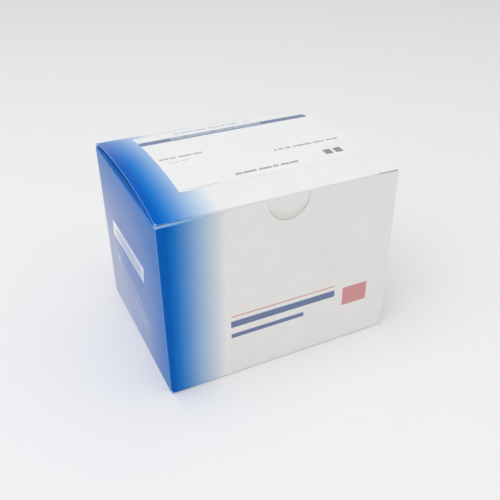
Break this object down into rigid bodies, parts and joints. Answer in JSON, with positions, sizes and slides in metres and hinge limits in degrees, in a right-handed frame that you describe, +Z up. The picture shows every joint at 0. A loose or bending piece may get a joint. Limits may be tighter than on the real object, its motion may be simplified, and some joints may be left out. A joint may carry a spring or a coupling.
{
  "type": "folding carton",
  "caption": "Folding carton for a kit, with a bowed tuck-in lid, a thumb notch in the front panel, dust flaps and a glued base. The lid opens about its rear fold.",
  "frame": {"origin": "middle of the base, on the surface that the carton stands on", "axes": "+Z up through the lid, -Y out of the front panel with the thumb notch, +X to the right seen from the front"},
  "size_m": [0.15, 0.119, 0.1217],
  "materials": {
    "printed_board": "white folding boxboard under a satin varnish, printed blue at the left and fading to white across the front",
    "lid_board": "the same varnished board, blue along the left edge and fading to white, with a bare cut edge",
    "label_paper": "smooth white self-adhesive paper with a blue band along its rear edge"
  },
  "bodies": {
    "carton": {"carton_body": "printed_board"},
    "lid": {"lid": "lid_board", "lid_label": "label_paper"}
  },
  "joints": [
    {"name": "lid_hinge", "type": "hinge", "parent": "carton", "child": "lid", "pos_m": [0, 0.0595, 0.11513], "axis": [-1, 0, 0], "range_deg": [0, 180]}
  ]
}
